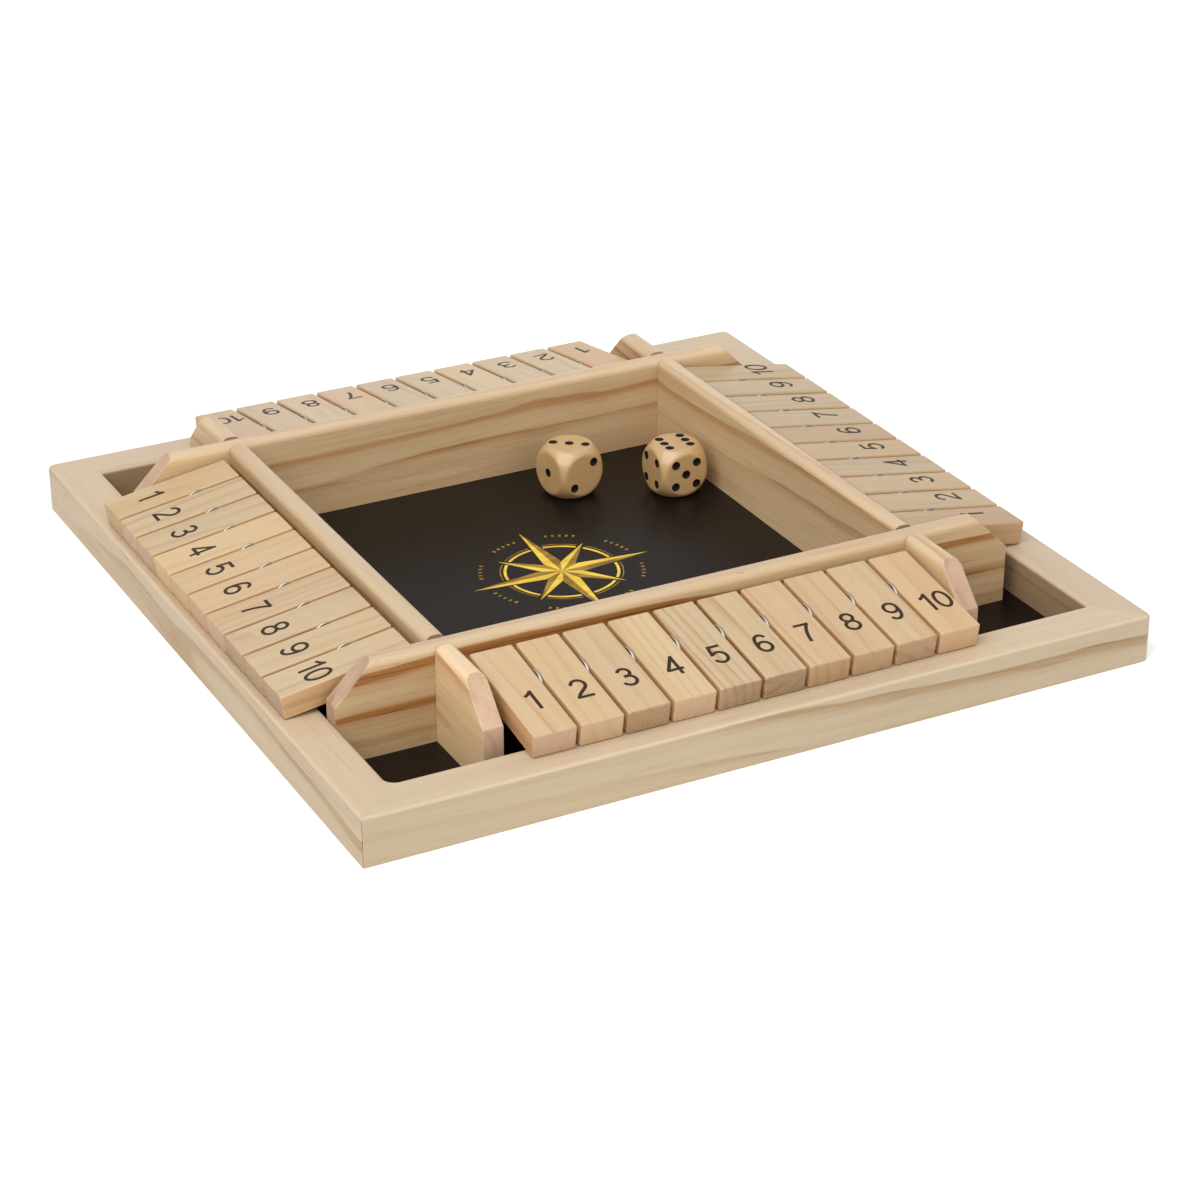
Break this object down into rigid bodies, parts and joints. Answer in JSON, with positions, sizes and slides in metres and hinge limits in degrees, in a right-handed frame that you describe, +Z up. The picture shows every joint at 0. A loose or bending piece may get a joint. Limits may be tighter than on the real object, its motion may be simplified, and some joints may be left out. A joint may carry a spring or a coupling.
{
  "type": "shut the box game",
  "caption": "Square wooden table game: a low frame with a walled dice tray in the middle, rows of numbered tiles that flip up on steel rods, and loose dice.",
  "frame": {"origin": "middle of the underside, on the surface that the game stands on", "axes": "+Z up, +X to the right and +Y away, for the player whose numbers run from left to right along the front"},
  "size_m": [0.301, 0.301, 0.0385],
  "materials": {
    "frame_pine": "smooth sanded pine, clear matt",
    "wall_pine": "smooth sanded pine, clear matt",
    "tile_pine": "smooth sanded pine, clear matt",
    "black_board": "satin black coated board",
    "rod_steel": "drawn steel",
    "washer_steel": "bright zinc-plated steel",
    "die_wood": "satin lacquered wood",
    "black_print": "printed black ink",
    "gold_print": "printed gold ink"
  },
  "bodies": {
    "board": {"frame_rail_front": "frame_pine", "frame_rail_right": "frame_pine", "frame_rail_back": "frame_pine", "frame_rail_left": "frame_pine", "floor_board": "black_board", "front_wall": "wall_pine", "right_wall": "wall_pine", "back_wall": "wall_pine", "left_wall": "wall_pine", "end_plate_front_left": "wall_pine", "end_plate_front_right": "wall_pine", "end_plate_back_left": "wall_pine", "end_plate_back_right": "wall_pine", "hinge_rod_front": "rod_steel", "hinge_rod_right": "rod_steel", "hinge_rod_back": "rod_steel", "hinge_rod_left": "rod_steel", "spacer_washers": "washer_steel"},
    "tile_front_1": {"tile_front_1": "tile_pine"},
    "tile_front_2": {"tile_front_2": "tile_pine"},
    "tile_front_3": {"tile_front_3": "tile_pine"},
    "tile_front_4": {"tile_front_4": "tile_pine"},
    "tile_front_5": {"tile_front_5": "tile_pine"},
    "tile_front_6": {"tile_front_6": "tile_pine"},
    "tile_front_7": {"tile_front_7": "tile_pine"},
    "tile_front_8": {"tile_front_8": "tile_pine"},
    "tile_front_9": {"tile_front_9": "tile_pine"},
    "tile_front_10": {"tile_front_10": "tile_pine"},
    "tile_right_1": {"tile_right_1": "tile_pine"},
    "tile_right_2": {"tile_right_2": "tile_pine"},
    "tile_right_3": {"tile_right_3": "tile_pine"},
    "tile_right_4": {"tile_right_4": "tile_pine"},
    "tile_right_5": {"tile_right_5": "tile_pine"},
    "tile_right_6": {"tile_right_6": "tile_pine"},
    "tile_right_7": {"tile_right_7": "tile_pine"},
    "tile_right_8": {"tile_right_8": "tile_pine"},
    "tile_right_9": {"tile_right_9": "tile_pine"},
    "tile_right_10": {"tile_right_10": "tile_pine"},
    "tile_back_1": {"tile_back_1": "tile_pine"},
    "tile_back_2": {"tile_back_2": "tile_pine"},
    "tile_back_3": {"tile_back_3": "tile_pine"},
    "tile_back_4": {"tile_back_4": "tile_pine"},
    "tile_back_5": {"tile_back_5": "tile_pine"},
    "tile_back_6": {"tile_back_6": "tile_pine"},
    "tile_back_7": {"tile_back_7": "tile_pine"},
    "tile_back_8": {"tile_back_8": "tile_pine"},
    "tile_back_9": {"tile_back_9": "tile_pine"},
    "tile_back_10": {"tile_back_10": "tile_pine"},
    "tile_left_1": {"tile_left_1": "tile_pine"},
    "tile_left_2": {"tile_left_2": "tile_pine"},
    "tile_left_3": {"tile_left_3": "tile_pine"},
    "tile_left_4": {"tile_left_4": "tile_pine"},
    "tile_left_5": {"tile_left_5": "tile_pine"},
    "tile_left_6": {"tile_left_6": "tile_pine"},
    "tile_left_7": {"tile_left_7": "tile_pine"},
    "tile_left_8": {"tile_left_8": "tile_pine"},
    "tile_left_9": {"tile_left_9": "tile_pine"},
    "tile_left_10": {"tile_left_10": "tile_pine"},
    "die_1": {"die_1": "die_wood"},
    "die_2": {"die_2": "die_wood"}
  },
  "joints": [
    {"name": "flip_front_1", "type": "hinge", "parent": "board", "child": "tile_front_1", "pos_m": [-0.07903, -0.11166, 0.0273], "axis": [-1, 0, 0], "range_deg": [0, 150]},
    {"name": "flip_front_2", "type": "hinge", "parent": "board", "child": "tile_front_2", "pos_m": [-0.06189, -0.11166, 0.0273], "axis": [-1, 0, 0], "range_deg": [0, 150]},
    {"name": "flip_front_3", "type": "hinge", "parent": "board", "child": "tile_front_3", "pos_m": [-0.04475, -0.11166, 0.0273], "axis": [-1, 0, 0], "range_deg": [0, 150]},
    {"name": "flip_front_4", "type": "hinge", "parent": "board", "child": "tile_front_4", "pos_m": [-0.02761, -0.11166, 0.0273], "axis": [-1, 0, 0], "range_deg": [0, 150]},
    {"name": "flip_front_5", "type": "hinge", "parent": "board", "child": "tile_front_5", "pos_m": [-0.01047, -0.11166, 0.0273], "axis": [-1, 0, 0], "range_deg": [0, 150]},
    {"name": "flip_front_6", "type": "hinge", "parent": "board", "child": "tile_front_6", "pos_m": [0.00667, -0.11166, 0.0273], "axis": [-1, 0, 0], "range_deg": [0, 150]},
    {"name": "flip_front_7", "type": "hinge", "parent": "board", "child": "tile_front_7", "pos_m": [0.02381, -0.11166, 0.0273], "axis": [-1, 0, 0], "range_deg": [0, 150]},
    {"name": "flip_front_8", "type": "hinge", "parent": "board", "child": "tile_front_8", "pos_m": [0.04095, -0.11166, 0.0273], "axis": [-1, 0, 0], "range_deg": [0, 150]},
    {"name": "flip_front_9", "type": "hinge", "parent": "board", "child": "tile_front_9", "pos_m": [0.05809, -0.11166, 0.0273], "axis": [-1, 0, 0], "range_deg": [0, 150]},
    {"name": "flip_front_10", "type": "hinge", "parent": "board", "child": "tile_front_10", "pos_m": [0.07523, -0.11166, 0.0273], "axis": [-1, 0, 0], "range_deg": [0, 150]},
    {"name": "flip_right_1", "type": "hinge", "parent": "board", "child": "tile_right_1", "pos_m": [0.11176, -0.07411, 0.0273], "axis": [0, -1, 0], "range_deg": [0, 150]},
    {"name": "flip_right_2", "type": "hinge", "parent": "board", "child": "tile_right_2", "pos_m": [0.11176, -0.05697, 0.0273], "axis": [0, -1, 0], "range_deg": [0, 150]},
    {"name": "flip_right_3", "type": "hinge", "parent": "board", "child": "tile_right_3", "pos_m": [0.11176, -0.03982, 0.0273], "axis": [0, -1, 0], "range_deg": [0, 150]},
    {"name": "flip_right_4", "type": "hinge", "parent": "board", "child": "tile_right_4", "pos_m": [0.11176, -0.02269, 0.0273], "axis": [0, -1, 0], "range_deg": [0, 150]},
    {"name": "flip_right_5", "type": "hinge", "parent": "board", "child": "tile_right_5", "pos_m": [0.11176, -0.00554, 0.0273], "axis": [0, -1, 0], "range_deg": [0, 150]},
    {"name": "flip_right_6", "type": "hinge", "parent": "board", "child": "tile_right_6", "pos_m": [0.11176, 0.01159, 0.0273], "axis": [0, -1, 0], "range_deg": [0, 150]},
    {"name": "flip_right_7", "type": "hinge", "parent": "board", "child": "tile_right_7", "pos_m": [0.11176, 0.02874, 0.0273], "axis": [0, -1, 0], "range_deg": [0, 150]},
    {"name": "flip_right_8", "type": "hinge", "parent": "board", "child": "tile_right_8", "pos_m": [0.11176, 0.04587, 0.0273], "axis": [0, -1, 0], "range_deg": [0, 150]},
    {"name": "flip_right_9", "type": "hinge", "parent": "board", "child": "tile_right_9", "pos_m": [0.11176, 0.06302, 0.0273], "axis": [0, -1, 0], "range_deg": [0, 150]},
    {"name": "flip_right_10", "type": "hinge", "parent": "board", "child": "tile_right_10", "pos_m": [0.11176, 0.08016, 0.0273], "axis": [0, -1, 0], "range_deg": [0, 150]},
    {"name": "flip_back_1", "type": "hinge", "parent": "board", "child": "tile_back_1", "pos_m": [0.07218, 0.11766, 0.0273], "axis": [1, 0, 0], "range_deg": [0, 150]},
    {"name": "flip_back_2", "type": "hinge", "parent": "board", "child": "tile_back_2", "pos_m": [0.05504, 0.11766, 0.0273], "axis": [1, 0, 0], "range_deg": [0, 150]},
    {"name": "flip_back_3", "type": "hinge", "parent": "board", "child": "tile_back_3", "pos_m": [0.0379, 0.11766, 0.0273], "axis": [1, 0, 0], "range_deg": [0, 150]},
    {"name": "flip_back_4", "type": "hinge", "parent": "board", "child": "tile_back_4", "pos_m": [0.02076, 0.11766, 0.0273], "axis": [1, 0, 0], "range_deg": [0, 150]},
    {"name": "flip_back_5", "type": "hinge", "parent": "board", "child": "tile_back_5", "pos_m": [0.00362, 0.11766, 0.0273], "axis": [1, 0, 0], "range_deg": [0, 150]},
    {"name": "flip_back_6", "type": "hinge", "parent": "board", "child": "tile_back_6", "pos_m": [-0.01352, 0.11766, 0.0273], "axis": [1, 0, 0], "range_deg": [0, 150]},
    {"name": "flip_back_7", "type": "hinge", "parent": "board", "child": "tile_back_7", "pos_m": [-0.03066, 0.11766, 0.0273], "axis": [1, 0, 0], "range_deg": [0, 150]},
    {"name": "flip_back_8", "type": "hinge", "parent": "board", "child": "tile_back_8", "pos_m": [-0.0478, 0.11766, 0.0273], "axis": [1, 0, 0], "range_deg": [0, 150]},
    {"name": "flip_back_9", "type": "hinge", "parent": "board", "child": "tile_back_9", "pos_m": [-0.06494, 0.11766, 0.0273], "axis": [1, 0, 0], "range_deg": [0, 150]},
    {"name": "flip_back_10", "type": "hinge", "parent": "board", "child": "tile_back_10", "pos_m": [-0.08208, 0.11766, 0.0273], "axis": [1, 0, 0], "range_deg": [0, 150]},
    {"name": "flip_left_1", "type": "hinge", "parent": "board", "child": "tile_left_1", "pos_m": [-0.11756, 0.08103, 0.0273], "axis": [0, 1, 0], "range_deg": [0, 150]},
    {"name": "flip_left_2", "type": "hinge", "parent": "board", "child": "tile_left_2", "pos_m": [-0.11756, 0.06389, 0.0273], "axis": [0, 1, 0], "range_deg": [0, 150]},
    {"name": "flip_left_3", "type": "hinge", "parent": "board", "child": "tile_left_3", "pos_m": [-0.11756, 0.04675, 0.0273], "axis": [0, 1, 0], "range_deg": [0, 150]},
    {"name": "flip_left_4", "type": "hinge", "parent": "board", "child": "tile_left_4", "pos_m": [-0.11756, 0.02961, 0.0273], "axis": [0, 1, 0], "range_deg": [0, 150]},
    {"name": "flip_left_5", "type": "hinge", "parent": "board", "child": "tile_left_5", "pos_m": [-0.11756, 0.01247, 0.0273], "axis": [0, 1, 0], "range_deg": [0, 150]},
    {"name": "flip_left_6", "type": "hinge", "parent": "board", "child": "tile_left_6", "pos_m": [-0.11756, -0.00467, 0.0273], "axis": [0, 1, 0], "range_deg": [0, 150]},
    {"name": "flip_left_7", "type": "hinge", "parent": "board", "child": "tile_left_7", "pos_m": [-0.11756, -0.02181, 0.0273], "axis": [0, 1, 0], "range_deg": [0, 150]},
    {"name": "flip_left_8", "type": "hinge", "parent": "board", "child": "tile_left_8", "pos_m": [-0.11756, -0.03895, 0.0273], "axis": [0, 1, 0], "range_deg": [0, 150]},
    {"name": "flip_left_9", "type": "hinge", "parent": "board", "child": "tile_left_9", "pos_m": [-0.11756, -0.05609, 0.0273], "axis": [0, 1, 0], "range_deg": [0, 150]},
    {"name": "flip_left_10", "type": "hinge", "parent": "board", "child": "tile_left_10", "pos_m": [-0.11756, -0.07323, 0.0273], "axis": [0, 1, 0], "range_deg": [0, 150]},
    {"name": "lift_die_1", "type": "slide", "parent": "board", "child": "die_1", "axis": [0, 0, 1], "range_m": [0, 0.06]},
    {"name": "lift_die_2", "type": "slide", "parent": "board", "child": "die_2", "axis": [0, 0, 1], "range_m": [0, 0.06]}
  ]
}
